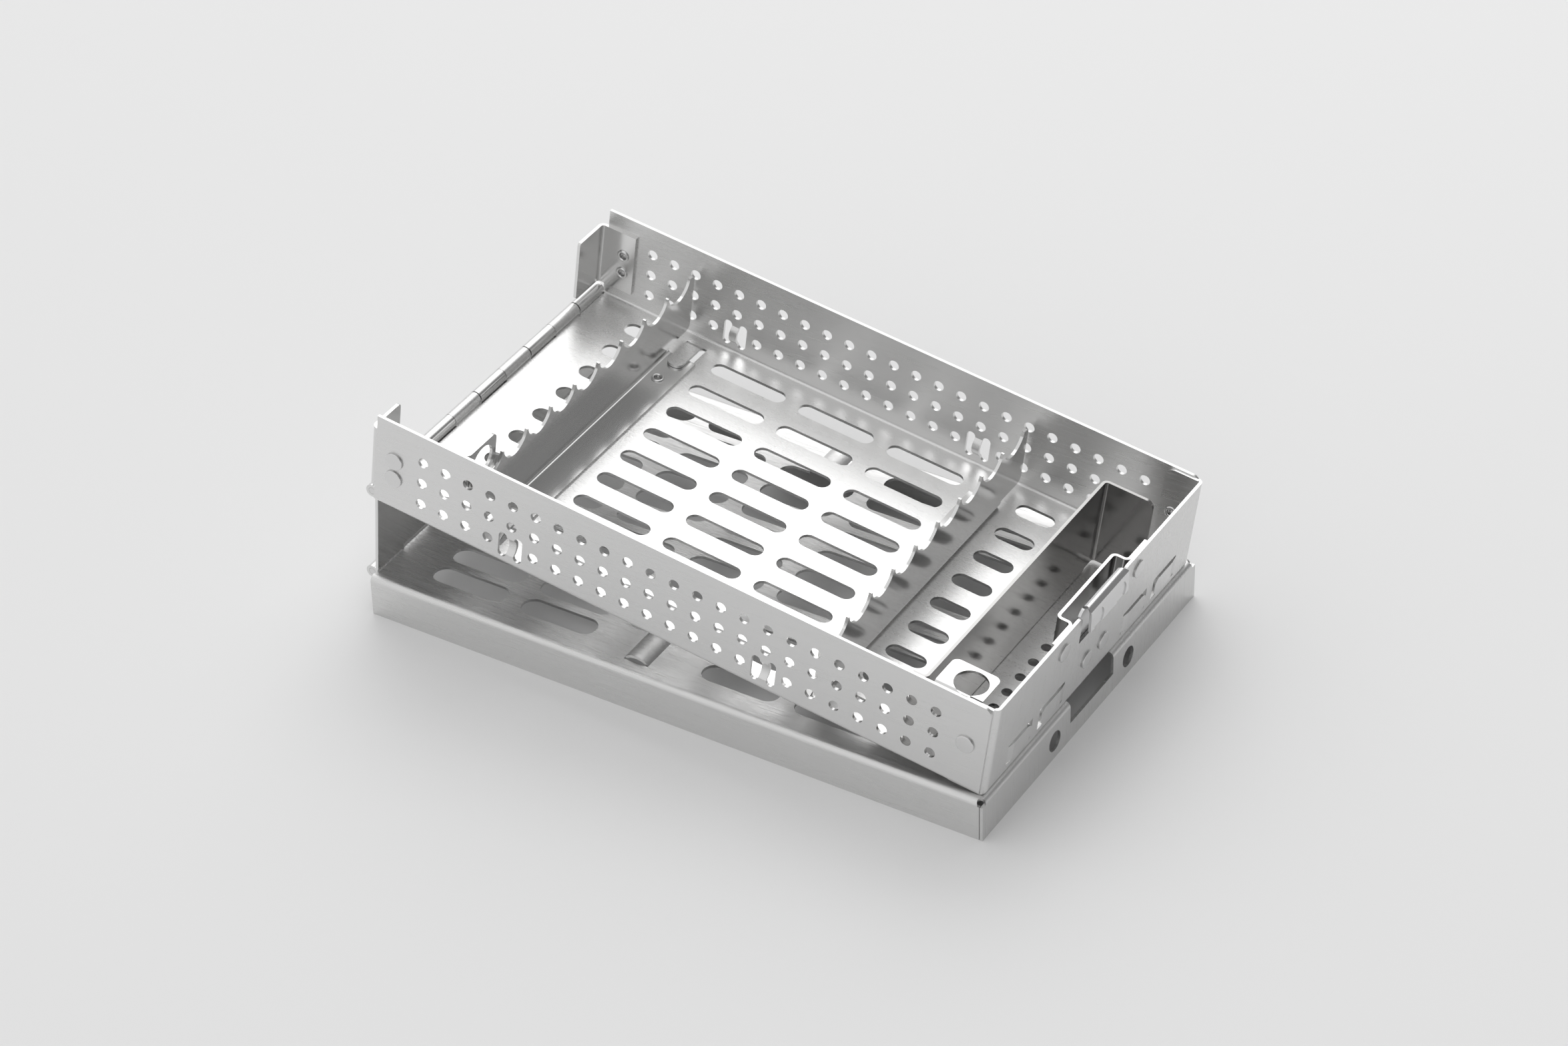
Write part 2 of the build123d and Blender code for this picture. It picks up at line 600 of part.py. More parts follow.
with BuildPart() as lid_shell:
    with BuildSketch(Plane.YZ.offset(wall_setback)) as lid_end:
        Rectangle(2 * lid_half, lid_height, align=(Align.CENTER, Align.MIN))
        fillet(lid_end.vertices().group_by(Axis.Y)[-1], bend_radius)
    extrude(amount=lid_reach - wall_setback)
    with BuildSketch(Plane.XZ.offset(-lid_half)) as lid_side:
        with Locations((wall_setback, 0)):
            Rectangle(lid_reach - wall_setback, lid_height, align=(Align.MIN, Align.MIN))
        fillet(lid_side.vertices().group_by(Axis.Y)[-1].sort_by(Axis.X)[-1], bend_radius)
    extrude(amount=2 * lid_half, mode=Mode.INTERSECT)
    add(lid_hollow.part, mode=Mode.SUBTRACT)
    # seams where the long walls butt against the end wall, with a round relief at each corner
    with BuildSketch(Plane.XZ.offset(-lid_half)):
        with Locations((lid_inner_x, 0)):
            Rectangle(lid_seam, lid_height - bend_radius, align=(Align.MAX, Align.MIN))
    extrude(amount=sheet, mode=Mode.SUBTRACT)
    with BuildSketch(Plane.XZ.offset(lid_inner_half)):
        with Locations((lid_inner_x, 0)):
            Rectangle(lid_seam, lid_height - bend_radius, align=(Align.MAX, Align.MIN))
    extrude(amount=sheet, mode=Mode.SUBTRACT)
    with BuildSketch(Plane.XY.offset(lid_height - bend_radius)):
        with Locations((lid_inner_x, -lid_inner_half), (lid_inner_x, lid_inner_half)):
            Circle(lid_relief_radius)
    extrude(amount=bend_radius, mode=Mode.SUBTRACT)
    # slots in the panel
    with BuildSketch(Plane.XY.offset(panel_bottom)):
        with Locations(*lid_slots):
            SlotOverall(lid_slot_length, lid_slot_width)
    extrude(amount=sheet, mode=Mode.SUBTRACT)
    # humps: a strip lanced up from the panel near each long edge
    with BuildSketch(Plane.XY.offset(panel_bottom)):
        with Locations((hump_x - hump_slit / 2, -hump_y), (hump_x - hump_slit / 2, hump_y)):
            Rectangle(hump_width + hump_slit, hump_length + 2 * hump_slit)
    extrude(amount=sheet, mode=Mode.SUBTRACT)
    with Locations((0, -hump_y, 0), (0, hump_y, 0)):
        add(lid_hump.part)
    # window for the latch head, and holes over the guard's rivets
    with BuildSketch(Plane.XY.offset(window_strip)):
        with Locations((lid_reach - window_panel_depth, 0)):
            Rectangle(2 * window_panel_depth, window_width, align=(Align.MIN, Align.CENTER))
    extrude(amount=lid_height, mode=Mode.SUBTRACT)
    with BuildSketch(Plane.YZ.offset(lid_inner_x)):
        with Locations((-guard_rivet_y, lid_hole_z), (guard_rivet_y, lid_hole_z)):
            Circle(lid_hole_radius)
    extrude(amount=sheet, mode=Mode.SUBTRACT)
    # hinge edge
    with BuildSketch(Plane.XY.offset(panel_bottom)):
        Rectangle(wall_setback + 0.5, hinge_length, align=(Align.MIN, Align.CENTER))
    extrude(amount=sheet)
    with BuildSketch(Plane.XY.offset(panel_bottom)):
        with Locations(*[(notch_reach, y) for y in leaf_notches]):
            Rectangle(2 * notch_reach, notch_length, align=(Align.MAX, Align.CENTER))
    extrude(amount=sheet, mode=Mode.SUBTRACT)
    with Locations(*[(0, y, lid_axis_z) for y in leaf_knuckles]):
        Cylinder(knuckle_radius, knuckle_length, rotation=(90, 0, 0))
    with Locations((0, 0, lid_axis_z)):
        Cylinder(bore_radius, hinge_length + 2, rotation=(90, 0, 0), mode=Mode.SUBTRACT)
lid_pieces["lid_shell"] = lid_shell.part


# ---- corner brackets: one leg riveted inside each long wall, the other closing the corner
def corner_bracket(side):
    wall_y = side * (inner_half - sheet / 2)
    cross_x = sheet / 2 - bracket_overhang
    with BuildPart() as bracket:
        with BuildSketch(Plane.XY.offset(bracket_bottom)):
            with BuildLine():
                FilletPolyline(
                    (bracket_leg - bracket_overhang, wall_y),
                    (cross_x, wall_y),
                    (cross_x, side * (inner_half - bracket_reach)),
                    radius=fold_radius,
                )
            trace(line_width=sheet)
        extrude(amount=bracket_height)
        free_corners = bracket.edges().filter_by(Axis.X).group_by(Axis.Y)[0 if side > 0 else -1]
        fillet(free_corners, bracket_corner)
        for z in bracket_rivet_heights:
            with BuildSketch(near_wall(bracket_rivet_x, z) if side < 0 else far_wall(bracket_rivet_x, z)):
                Circle(shank_radius + shank_clearance)
            extrude(amount=-3 * sheet, mode=Mode.SUBTRACT)
    return bracket.part


tray_pieces["near_corner_bracket"] = corner_bracket(-1)
tray_pieces["far_corner_bracket"] = corner_bracket(1)

# ---- instrument racks: an upright plate with scallops along its top, and a riveted foot
with BuildPart() as rack_blank:
    with BuildSketch(Plane.XZ.offset(-rack_foot_length / 2)):
        with BuildLine():
            FilletPolyline(
                (-sheet / 2, rack_corner_bottom),
                (-sheet / 2, floor_top + sheet / 2),
                (rack_foot_width, floor_top + sheet / 2),
                radius=fold_radius,
            )
        trace(line_width=sheet)
    extrude(amount=rack_foot_length)
    with BuildSketch(Plane.YZ.offset(-sheet)) as rack_plate:
        with Locations((0, rack_corner_bottom)):
            Rectangle(rack_plate_length, rack_top - rack_corner_bottom, align=(Align.CENTER, Align.MIN))
        fillet(rack_plate.vertices().group_by(Axis.Y)[0], rack_lower_corner)
        fillet(rack_plate.vertices().group_by(Axis.Y)[-1], rack_upper_corner)
        with Locations((0, rack_top + scallop_rise)):
            with GridLocations(slot_row_pitch, 1, slot_rows, 1):
                Circle(scallop_radius, mode=Mode.SUBTRACT)
    extrude(amount=sheet)
    with BuildSketch(Plane.XY.offset(floor_top)):
        with Locations((rack_rivet_offset, -rack_rivet_y), (rack_rivet_offset, rack_rivet_y)):
            Circle(shank_radius + shank_clearance)
    extrude(amount=sheet, mode=Mode.SUBTRACT)

with BuildPart() as left_rack:
    with Locations((rack_centre_x - rack_inner_half, 0, 0)):
        add(rack_blank.part)
tray_pieces["left_rack"] = left_rack.part

with BuildPart() as right_rack:
    with Locations(Location((rack_centre_x + rack_inner_half, 0, 0), (0, 0, 180))):
        add(rack_blank.part)
tray_pieces["right_rack"] = right_rack.part

# ---- bin partition: a wall across the tray and a short return along it
with BuildPart() as bin_partition:
    with BuildSketch(Plane.XY.offset(floor_top + partition_gap)):
        with BuildLine():
            FilletPolyline(
                (partition_x - partition_flange, sheet / 2 - inner_half),
                (partition_x, sheet / 2 - inner_half),
                (partition_x, partition_back_y),
                (partition_end_x, partition_back_y),
                radius=fold_radius,
            )
        trace(line_width=sheet)
    extrude(amount=partition_height)
    free_corner = bin_partition.edges().filter_by(Axis.Y).group_by(Axis.X)[-1].sort_by(Axis.Z)[-1]
    fillet(free_corner, partition_corner)
    # clear of the bend between the floor and the near wall, and open under the standing corner
    with BuildSketch(Plane.XY.offset(floor_top)):
        with Locations((partition_x + sheet, -inner_half)):
            Rectangle(2 * partition_flange, bend_radius, align=(Align.MAX, Align.MIN))
        with Locations((partition_x - sheet, partition_back_y + sheet)):
            Rectangle(standing_corner_relief, standing_corner_relief, align=(Align.MIN, Align.MAX))
    extrude(amount=floor_corner_relief, mode=Mode.SUBTRACT)
tray_pieces["bin_partition"] = bin_partition.part

# ---- ring lugs on the near wall: one upright, one lying at the rim
with BuildPart() as side_ring_lug:
    with BuildSketch(Plane.XY.offset(side_ring_bottom)):
        with BuildLine():
            FilletPolyline(
                (side_ring_x - side_ring_flange, sheet / 2 - inner_half),
                (side_ring_x + sheet / 2, sheet / 2 - inner_half),
                (side_ring_x + sheet / 2, side_ring_reach - inner_half),
                radius=fold_radius,
            )
        trace(line_width=sheet)
    extrude(amount=side_ring_top - side_ring_bottom)
    fillet(side_ring_lug.edges().filter_by(Axis.X).group_by(Axis.Y)[-1], ring_corner)
    with BuildSketch(Plane.YZ.offset(side_ring_x)):
        with Locations((side_ring_hole_y - inner_half, side_ring_hole_z)):
            Circle(ring_hole_radius)
    extrude(amount=sheet, mode=Mode.SUBTRACT)
tray_pieces["side_ring_lug"] = side_ring_lug.part

with BuildPart() as top_ring_lug:
    with BuildSketch(Plane.YZ.offset(top_ring_start_x)):
        with BuildLine():
            FilletPolyline(
                (sheet / 2 - inner_half, tray_height - top_ring_flange_drop),
                (sheet / 2 - inner_half, tray_height - sheet / 2),
                (top_ring_reach - inner_half, tray_height - sheet / 2),
                radius=fold_radius,
            )
        trace(line_width=sheet)
    extrude(amount=top_ring_end_x - top_ring_start_x)
    # past the flange the lug stands clear of the end wall's tab
    with BuildSketch(Plane.YZ.offset(top_ring_flange_end_x)):
        with Locations((-inner_half, tray_height)):
            Rectangle(2 * (sheet + tab_clearance), 4 * top_ring_flange_drop)
    extrude(amount=top_ring_end_x - top_ring_flange_end_x, mode=Mode.SUBTRACT)
    fillet(top_ring_lug.edges().filter_by(Axis.Z).group_by(Axis.Y)[-1], ring_corner)
    with BuildSketch(Plane.XY.offset(tray_height)):
        with Locations((top_ring_hole_x, top_ring_hole_y - inner_half)):
            Circle(ring_hole_radius)
    extrude(amount=-sheet, mode=Mode.SUBTRACT)
tray_pieces["top_ring_lug"] = top_ring_lug.part

# ---- latch guard: a hat-shaped strip inside the end wall, over the latch's arm
with BuildPart() as latch_guard:
    with BuildSketch(Plane.XY.offset(guard_bottom)):
        with BuildLine():
            flange_x = end_inner_x - sheet / 2
            face_x = end_inner_x - guard_standoff + sheet / 2
            web_y = (guard_width - sheet) / 2
            FilletPolyline(
                (flange_x, -guard_width / 2 - guard_flange),
                (flange_x, -web_y),
                (face_x, -web_y),
                (face_x, web_y),
                (flange_x, web_y),
                (flange_x, guard_width / 2 + guard_flange),
                radius=fold_radius,
            )
        trace(line_width=sheet)
    extrude(amount=guard_top - guard_bottom)
    for place in guard_rivet_places:
        with BuildSketch(place):
            Circle(shank_radius + shank_clearance)
        extrude(amount=-3 * sheet, mode=Mode.SUBTRACT)
tray_pieces["latch_guard"] = latch_guard.part

# ---- latch: a riveted foot, and above its flexing line the arm, its top bent over as a hook
latch_back_x = end_inner_x - latch_gap - latch_sheet
with BuildPart() as latch_foot:
    with BuildSketch(Plane.YZ.offset(latch_back_x)) as foot_outline:
        with Locations((0, latch_foot_bottom)):
            Rectangle(
                latch_foot_width,
                latch_flex_z - latch_flex_gap - latch_sheet / 2 - latch_foot_bottom,
                align=(Align.CENTER, Align.MIN),
            )
        fillet(foot_outline.vertices().group_by(Axis.Y)[0], latch_foot_corner)
        with Locations((0, latch_rivet_z)):
            with GridLocations(latch_rivet_spacing, 1, 2, 1):
                Circle(shank_radius + shank_clearance, mode=Mode.SUBTRACT)
    extrude(amount=latch_sheet)
tray_pieces["latch_foot"] = latch_foot.part

shoulder_half = latch_shoulder_width / 2
head_half = latch_head_width / 2
ridge_half = latch_ridge_width / 2
arm_x = latch_back_x + latch_sheet / 2
latch_arm_top = latch_fold_z - latch_fold_radius / 2
crease = Vector(arm_x + latch_crease_reach, 0, latch_fold_z)
lip = Vector(arm_x + latch_lip_reach, 0, latch_lip_z)
head_face = Plane(
    origin=crease + (lip - crease) * (latch_fold_z - latch_dimple_z) / (latch_fold_z - latch_lip_z),
    x_dir=(0, 1, 0),
    z_dir=(latch_fold_z - latch_lip_z, 0, latch_lip_reach - latch_crease_reach),
)
with BuildPart() as latch_arm:
    # the hook's profile, then its outline from above, a little narrower at the ridge
    with BuildSketch(Plane.XZ.offset(-head_half)):
        with BuildLine():
            FilletPolyline(
                (arm_x, latch_shoulder_z),
                (arm_x, latch_fold_z),
                (arm_x + latch_ridge_reach, latch_ridge_z),
                (arm_x + latch_crease_reach, latch_fold_z),
                (arm_x + latch_lip_reach, latch_lip_z),
                radius=latch_fold_radius,
            )
        trace(line_width=latch_sheet)
    extrude(amount=latch_head_width)
    with BuildSketch(Plane.XY.offset(latch_lip_z - latch_sheet)):
        with BuildLine():
            Polyline(
                (latch_back_x, -ridge_half),
                (arm_x + latch_ridge_reach, -ridge_half),
                (arm_x + latch_crease_reach, -head_half),
                (arm_x + latch_lip_reach + latch_sheet, -head_half),
                (arm_x + latch_lip_reach + latch_sheet, head_half),
                (arm_x + latch_crease_reach, head_half),
                (arm_x + latch_ridge_reach, ridge_half),
                (latch_back_x, ridge_half),
                close=True,
            )
        make_face()
    extrude(amount=tray_height, mode=Mode.INTERSECT)
    # the flat arm, wider than the head below its shoulders
    with BuildSketch(Plane.YZ.offset(latch_back_x)):
        with BuildLine():
            side_line = Polyline(
                (latch_foot_width / 2, latch_flex_z),
                (shoulder_half, latch_widening_z),
                (shoulder_half, latch_shoulder_z),
            )
            shoulder = TangentArc(side_line @ 1, (ridge_half, latch_arm_top), tangent=(0, 1))
            Line(shoulder @ 1, (0, latch_arm_top))
            Line((0, latch_arm_top), (0, latch_flex_z))
            Line((0, latch_flex_z), side_line @ 0)
        make_face()
        mirror(about=Plane.YZ)
    extrude(amount=latch_sheet)
    with Locations((arm_x, 0, latch_flex_z)):
        Cylinder(latch_sheet / 2, latch_foot_width, rotation=(90, 0, 0))
    # two shallow dimples for the thumb
    with BuildSketch(head_face.offset(latch_sheet / 2)):
        with Locations((-latch_dimple_spacing / 2, 0), (latch_dimple_spacing / 2, 0)):
            Circle(latch_dimple_radius)
    extrude(amount=-latch_dimple_depth, mode=Mode.SUBTRACT)

# ---- rivets in their places
rivet_groups = {
    "near_bracket_rivets": (raised_rivet, bracket_rivet_places["near"]),
    "far_bracket_rivets": (raised_rivet, bracket_rivet_places["far"]),
    "tab_rivets": (raised_rivet, tab_rivet_places),
    "guard_rivets": (raised_rivet, guard_rivet_places),
    "latch_rivets": (raised_rivet, latch_rivet_places),
    "left_rack_rivets": (flush_rivet, rack_rivet_places["left"]),
    "right_rack_rivets": (flush_rivet, rack_rivet_places["right"]),
}
for name, (blank, places) in rivet_groups.items():
    with BuildPart() as rivet_group:
        with Locations(*places):
            add(blank.part)
    tray_pieces[name] = rivet_group.part
tray_pieces["latch_arm"] = latch_arm.part

# ---- the open pose: every piece moved from its own frame into the world
placed = {}
for name, piece in lid_pieces.items():
    placed[name] = piece
for name, piece in spine_pieces.items():
    placed[name] = spine_place * piece
for name, piece in tray_pieces.items():
    placed[name] = tray_place * piece
boxes = [piece.bounding_box() for piece in placed.values()]
centre_x = (min(box.min.X for box in boxes) + max(box.max.X for box in boxes)) / 2
to_world = Location((-centre_x, 0, 0))
for name, piece in placed.items():
    world_piece = to_world * piece
    world_piece.label = name
    export_step(world_piece, f"parts/{name}.step")

latch_axis = (to_world * tray_place * Location((arm_x, 0, latch_flex_z))).position
print("tray tilt, degrees", tray_tilt_degrees)
print("lid hinge axis, x and z", -centre_x, lid_axis_z)
print("tray hinge axis, x and z", hinge_a_x - centre_x, hinge_a_z)
print("latch flexing line, x and z", latch_axis.X, latch_axis.Z)
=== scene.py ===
import bmesh
import bpy
import numpy as np
from mathutils import Matrix, Vector


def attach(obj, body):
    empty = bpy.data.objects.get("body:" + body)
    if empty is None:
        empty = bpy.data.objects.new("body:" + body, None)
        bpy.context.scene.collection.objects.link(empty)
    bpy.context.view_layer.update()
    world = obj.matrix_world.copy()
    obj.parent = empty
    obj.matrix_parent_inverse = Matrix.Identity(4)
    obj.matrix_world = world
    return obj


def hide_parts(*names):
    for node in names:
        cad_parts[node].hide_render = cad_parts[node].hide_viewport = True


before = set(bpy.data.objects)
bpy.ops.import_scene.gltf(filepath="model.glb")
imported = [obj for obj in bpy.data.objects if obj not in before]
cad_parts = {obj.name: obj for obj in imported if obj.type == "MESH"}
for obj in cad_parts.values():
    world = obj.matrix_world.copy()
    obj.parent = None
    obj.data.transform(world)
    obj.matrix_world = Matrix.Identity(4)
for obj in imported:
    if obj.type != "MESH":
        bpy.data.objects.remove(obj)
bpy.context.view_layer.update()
print("frame loaded,", len(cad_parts), "nodes")


# shader maths: a node's output, on which each Python operator adds one Math node
class Field:
    def __init__(self, finish, socket):
        self.finish = finish
        self.socket = socket

    def maths(self, operation, first, second=0.0):
        return self.finish.node("ShaderNodeMath", {"operation": operation}, {0: first, 1: second})

    def __add__(self, other):
        return self.maths("ADD", self, other)

    def __sub__(self, other):
        return self.maths("SUBTRACT", self, other)

    def __rsub__(self, other):
        return self.maths("SUBTRACT", other, self)

    def __mul__(self, other):
        return self.maths("MULTIPLY", self, other)

    def __abs__(self):
        return self.maths("ABSOLUTE", self)

    __radd__ = __add__
    __rmul__ = __mul__

    # 0 up to low, 1 from high on, a straight line between
    def ramp(self, low, high):
        return self.finish.node(
            "ShaderNodeMapRange", {"clamp": True},
            {"Value": self, "From Min": low, "From Max": high, "To Min": 0.0, "To Max": 1.0},
        )


# a material that starts empty; node() makes any node in it and links or sets its sockets
class Finish:
    def __init__(self, name):
        self.material = bpy.data.materials.new(name)
        self.material.use_nodes = True
        self.tree = self.material.node_tree
        self.tree.nodes.clear()

    def node(self, kind, settings=None, sockets=None, output=0):
        made = self.tree.nodes.new(kind)
        for key, value in (settings or {}).items():
            setattr(made, key, value)
        for key, value in (sockets or {}).items():
            if isinstance(value, Field):
                self.tree.links.new(value.socket, made.inputs[key])
            else:
                made.inputs[key].default_value = value
        return Field(self, made.outputs[output])

    # the piece's own coordinates, stretched by a factor along each axis
    def place(self, scale, shift=(0, 0, 0)):
        here = self.node("ShaderNodeTexCoord", output="Object")
        return self.node("ShaderNodeMapping", None, {"Vector": here, "Scale": scale, "Location": shift})

    def noise(self, where, scale, detail=2.0, roughness=0.5):
        return self.node(
            "ShaderNodeTexNoise", None,
            {"Vector": where, "Scale": scale, "Detail": detail, "Roughness": roughness},
        )

    def finished(self, shader):
        end = self.tree.nodes.new("ShaderNodeOutputMaterial")
        self.tree.links.new(shader.socket, end.inputs["Surface"])
        return self.material


# scales for noise whose grain runs along one axis: 1 / length on that axis, 1 / width on the others
def alongAxis(axis, length, width):
    return tuple(1 / length if name == axis else 1 / width for name in "xyz")


# satin steel: fine ground grain along one axis, with broad streaks and a few deeper scratches beside
# it, and faint cloudiness over all; roughness and shade are sums of these, each less its mean
def satinSteel(name, grain, look):
    finish = Finish(name)

    # the fine grain and the broad streaks, both drawn out along the axis
    def ground(axis):
        fineScale = alongAxis(axis, look["grainLength"], look["grainWidth"])
        broadScale = alongAxis(axis, look["streakLength"], look["streakWidth"])
        fine = finish.noise(finish.place(fineScale), 1.0, detail=3.0, roughness=0.6)
        broad = finish.noise(finish.place(broadScale), 1.0, detail=2.0, roughness=0.5)
        return fine, broad

    fine, streak = ground(grain)
    if look["turned"]:
        # on faces that look along X the grain runs upright instead
        facing = finish.node("ShaderNodeTexCoord", output="Normal")
        sideways = finish.node("ShaderNodeSeparateXYZ", None, {"Vector": facing}, output="X")
        crossFace = abs(sideways).ramp(look["turnFrom"], look["turnTo"])
        fineUp, streakUp = ground("z")
        fine = fine * (1 - crossFace) + fineUp * crossFace
        streak = streak * (1 - crossFace) + streakUp * crossFace
    cloud = finish.noise(finish.place((1, 1, 1)), 1 / look["cloudSize"], detail=3.0, roughness=0.55)

    scratchLength = look["grainLength"] * look["scratchSpread"]
    scratchWidth = look["grainWidth"] * look["scratchSpread"]
    scratchPlace = finish.place(alongAxis(grain, scratchLength, scratchWidth), look["scratchShift"])
    scratch = finish.noise(scratchPlace, 1.0, detail=1.0).ramp(look["scratchFrom"], look["scratchTo"])

    mean = 0.5  # of every noise
    grainOff, streakOff, cloudOff = fine - mean, streak - mean, cloud - mean
    rough = (look["rough"] + grainOff * look["grainRough"] + streakOff * look["streakRough"]
             + cloudOff * look["cloudRough"])
    shade = (cloudOff * look["cloudShade"] + grainOff * look["grainShade"]
             + streakOff * look["streakShade"] + mean)
    colour = finish.node(
        "ShaderNodeMix", {"data_type": "RGBA"},
        {"Factor": shade.ramp(0.0, 1.0), "A": (*look["dark"], 1), "B": (*look["light"], 1)}, output=2,
    )
    relief = finish.node(
        "ShaderNodeBump", None,
        {"Strength": 1.0, "Distance": look["grainDepth"], "Height": fine + scratch * look["scratch"]},
    )
    shader = finish.node(
        "ShaderNodeBsdfPrincipled", None,
        {"Base Color": colour, "Metallic": 1.0, "Roughness": rough, "Normal": relief},
    )
    return finish.finished(shader)


# lengths, widths, sizes and depths in metres; a Rough value adds to or takes from rough, a Shade value
# moves the colour between dark and light; scratch is its depth as a share of the grain's
sheetLook = {
    "grainLength": 0.014, "grainWidth": 0.0001, "grainDepth": 0.00003, "grainRough": 0.06,
    "grainShade": 0.08, "streakLength": 0.03, "streakWidth": 0.0011, "streakRough": 0.04,
    "streakShade": 0.16, "cloudSize": 0.08, "cloudRough": 0.04, "cloudShade": 0.1, "rough": 0.28,
    "scratch": 0.3, "scratchSpread": 2.8, "scratchShift": (0.3, 0.1, 0.2), "scratchFrom": 0.66,
    "scratchTo": 0.74, "dark": (0.65, 0.647, 0.643), "light": (0.83, 0.83, 0.826),
    "turned": True, "turnFrom": 0.6, "turnTo": 0.8,
}
lidLook = dict(sheetLook, grainDepth=0.00006, dark=(0.62, 0.617, 0.613), light=(0.8, 0.8, 0.796))
plateLook = dict(
    sheetLook, rough=0.17, grainDepth=0.000001, grainRough=0.03, streakRough=0.03, cloudRough=0.03,
    grainShade=0.05, streakShade=0.1, turned=False,
)
# the bin partition: the plate steel with its colour made much darker, painted shade standing in for the
# shade and dark reflections inside the bin
binPaintedShadeLook = dict(plateLook, rough=0.14, dark=(0.33, 0.325, 0.32), light=(0.43, 0.425, 0.42))
springLook = dict(plateLook, rough=0.24, light=(0.8, 0.8, 0.81))
rivetLook = dict(plateLook, rough=0.2, light=(0.78, 0.78, 0.78))

finishes = {
    "sheetAlongX": satinSteel("sheetAlongX", "x", sheetLook),
    "lidAlongX": satinSteel("lidAlongX", "x", lidLook),
    "plateAlongY": satinSteel("plateAlongY", "y", plateLook),
    "plateUpright": satinSteel("plateUpright", "z", plateLook),
    "binSteelPaintedShade": satinSteel("binSteelPaintedShade", "y", binPaintedShadeLook),
    "springSteel": satinSteel("springSteel", "z", springLook),
    "rivetSteel": satinSteel("rivetSteel", "y", rivetLook),
}
# every other node is a pin or a set of rivets, in rivetSteel
nodeFinish = {
    "tray_shell": "sheetAlongX",
    "lid_shell": "lidAlongX",
    "spine_plate": "plateUpright",
    "near_corner_bracket": "plateUpright",
    "far_corner_bracket": "plateUpright",
    "left_rack": "plateAlongY",
    "right_rack": "plateAlongY",
    "bin_partition": "binSteelPaintedShade",
    "side_ring_lug": "plateUpright",
    "top_ring_lug": "plateAlongY",
    "latch_guard": "plateAlongY",
    "latch_foot": "springSteel",
    "latch_arm": "springSteel",
}
for node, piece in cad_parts.items():
    steel = finishes[nodeFinish.get(node, "rivetSteel")]
    for materialSlot in piece.material_slots:
        materialSlot.material = steel
print("finishes made")

# the tray's own frame, as the part has it, in millimetres: its X starts at the tray hinge's axis, and
# that axis stands axisAbove its underside, where its Z starts
trayStand = {"hingeX": -99.57398, "hingeZ": 41.99619, "tiltDegrees": 7.7532193, "axisAbove": 2.0}
millimetresInMetre = 1000


# rows of points in the tray's frame, turned by its tilt about Y and moved to its hinge, in metres; a
# direction is turned only
def fromTray(rows, direction=False):
    tilt = np.radians(trayStand["tiltDegrees"])
    turn = np.array([[np.cos(tilt), 0, np.sin(tilt)], [0, 1, 0], [-np.sin(tilt), 0, np.cos(tilt)]])
    rows = np.asarray(rows, float)
    if direction:
        return rows @ turn.T
    shifted = rows - (0, 0, trayStand["axisAbove"])
    return (shifted @ turn.T + (trayStand["hingeX"], 0, trayStand["hingeZ"])) / millimetresInMetre


turning = {"steps": 40, "mergeDistance": 1e-7, "sharpDegrees": 50}


# a closed profile of radius r and height h turned about an axis: each point is the origin plus
# r (across cos a + other sin a) plus h axis, for every step of the angle a. A place is an origin and
# two directions, the axis and one across it. Ends at radius 0 are merged into poles.
def turnedPiece(name, profile, places, body, steel, replaced):
    profile = np.asarray(profile, float) / millimetresInMetre
    steps, rings = turning["steps"], len(profile)
    angle = np.linspace(0, 2 * np.pi, steps, endpoint=False)
    ring, step = np.meshgrid(np.arange(rings - 1), np.arange(steps), indexing="ij")
    after = (step + 1) % steps
    corners = [ring * steps + step, ring * steps + after,
               (ring + 1) * steps + after, (ring + 1) * steps + step]
    quads = np.stack(corners, axis=-1).reshape(-1, 4)
    vertices, faces = [], []
    for origin, axis, across in places:
        other = np.cross(axis, across)
        spoke = np.outer(np.cos(angle), across) + np.outer(np.sin(angle), other)
        points = origin + profile[:, 0, None, None] * spoke + profile[:, 1, None, None] * np.asarray(axis)
        faces.append(quads + len(vertices) * rings * steps)
        vertices.append(points.reshape(-1, 3))
    mesh = bpy.data.meshes.new(name)
    mesh.from_pydata(np.concatenate(vertices).tolist(), [], np.concatenate(faces).tolist())
    work = bmesh.new()
    work.from_mesh(mesh)
    bmesh.ops.remove_doubles(work, verts=work.verts, dist=turning["mergeDistance"])
    bmesh.ops.recalc_face_normals(work, faces=work.faces)
    work.to_mesh(mesh)
    work.free()
    mesh.polygons.foreach_set("use_smooth", [True] * len(mesh.polygons))
    mesh.set_sharp_from_angle(angle=np.radians(turning["sharpDegrees"]))
    mesh.materials.append(steel)
    piece = bpy.data.objects.new(name, mesh)
    bpy.context.collection.objects.link(piece)
    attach(piece, body)
    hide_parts(replaced)


# in millimetres: head, flushHead, shank, tail and bore are radii, rim is the rolled edge's radius, and
# grip is the riveted sheets' thickness; undercut and flare are the small steps beside the sheets
rivetSizes = {
    "head": 2.75, "headHeight": 0.56, "rim": 0.17, "crown": 0.05, "undercut": 0.04,
    "flushHead": 2.4, "flushHeight": 0.4, "shank": 1.6, "grip": 1.8,
    "tail": 1.95, "tailHeight": 0.5, "flare": 0.02, "bore": 1.05, "boreEnd": -0.5,
}


# points on a circle's arc about (r, z), from the start angle to the end angle in degrees
def arc(r, z, radius, start, end, count):
    a = np.radians(np.linspace(start, end, count))
    return np.stack([r + radius * np.cos(a), z + radius * np.sin(a)], axis=1)


